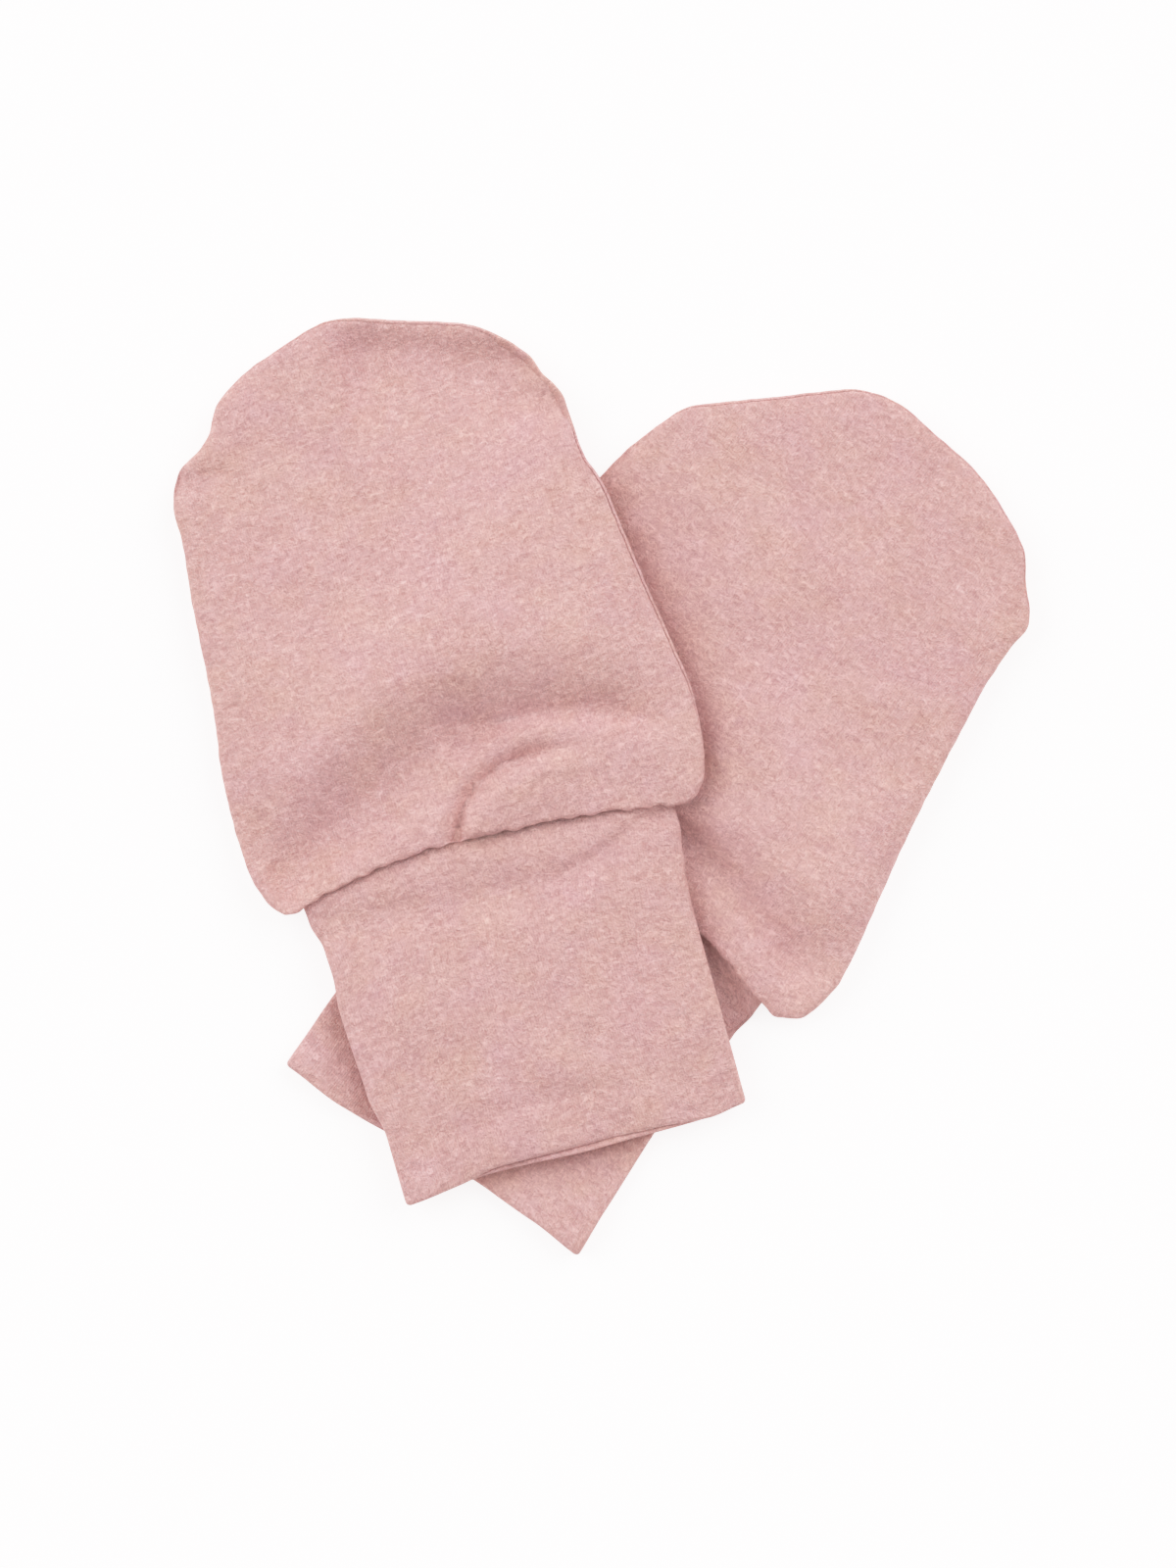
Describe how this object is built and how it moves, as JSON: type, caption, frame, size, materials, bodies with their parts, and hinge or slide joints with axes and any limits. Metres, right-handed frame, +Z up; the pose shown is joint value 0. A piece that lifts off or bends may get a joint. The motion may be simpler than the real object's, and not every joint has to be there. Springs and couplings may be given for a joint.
{
  "type": "pair of baby mittens",
  "caption": "Soft jersey mittens for a baby, rounded bags without thumbs on tall folded cuffs, laid flat and crossed, one over the other.",
  "frame": {"origin": "centre of the pair's bounding box, on the surface that the pair lies on", "axes": "+Z up, away from the surface; +Y towards the mittens' tips; +X towards the lower mitten"},
  "size_m": [0.1368, 0.1496, 0.0122],
  "materials": {
    "hand_jersey": "soft brushed matte jersey, dusty pink melange",
    "cuff_jersey": "soft brushed matte jersey, dusty pink melange"
  },
  "bodies": {
    "root": {"under_front": "hand_jersey", "under_back": "hand_jersey", "under_cuff": "cuff_jersey", "over_front": "hand_jersey", "over_back": "hand_jersey", "over_cuff": "cuff_jersey"}
  },
  "joints": []
}
